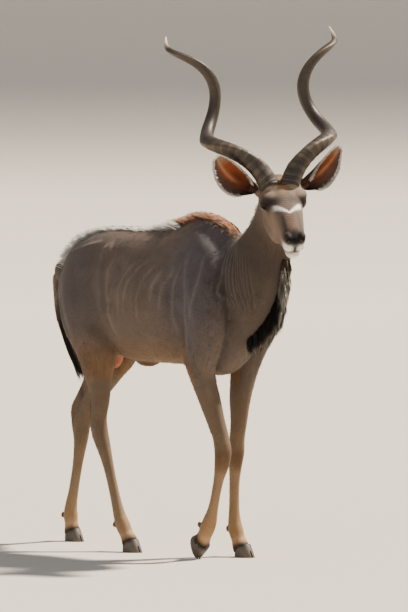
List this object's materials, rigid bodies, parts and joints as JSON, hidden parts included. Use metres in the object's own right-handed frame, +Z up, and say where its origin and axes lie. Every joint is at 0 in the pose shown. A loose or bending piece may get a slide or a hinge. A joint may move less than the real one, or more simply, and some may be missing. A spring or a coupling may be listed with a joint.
{
  "type": "greater kudu",
  "caption": "Life-size still model of a greater kudu bull in a walk, with corkscrew horns, cupped ears, spinal crest and throat fringe.",
  "frame": {"origin": "centre of the bounding box in plan, on the floor under the hooves", "axes": "+Z up, the bull walks towards -Y, and its left side is at +X"},
  "size_m": [0.7205, 1.8591, 2.1494],
  "materials": {
    "torso": "short grey-brown coat",
    "neck": "short grey-brown coat",
    "head": "short grey-brown coat",
    "tail": "short grey-brown coat",
    "foreleg_left": "short grey-brown coat",
    "foreleg_right": "short grey-brown coat",
    "hindleg_left": "short grey-brown coat",
    "hindleg_right": "short grey-brown coat",
    "ear_left": "short grey-brown coat",
    "ear_right": "short grey-brown coat",
    "horn_left": "ringed dark horn",
    "horn_right": "ringed dark horn",
    "forehoof_left": "worn dark hoof",
    "forehoof_right": "worn dark hoof",
    "hindhoof_left": "worn dark hoof",
    "hindhoof_right": "worn dark hoof",
    "eye_left": "wet dark brown",
    "eye_right": "wet dark brown"
  },
  "bodies": {
    "root": {"torso": "torso", "neck": "neck", "head": "head", "tail": "tail", "foreleg_left": "foreleg_left", "foreleg_right": "foreleg_right", "hindleg_left": "hindleg_left", "hindleg_right": "hindleg_right", "ear_left": "ear_left", "ear_right": "ear_right", "horn_left": "horn_left", "horn_right": "horn_right", "forehoof_left": "forehoof_left", "forehoof_right": "forehoof_right", "hindhoof_left": "hindhoof_left", "hindhoof_right": "hindhoof_right", "eye_left": "eye_left", "eye_right": "eye_right"}
  },
  "joints": []
}
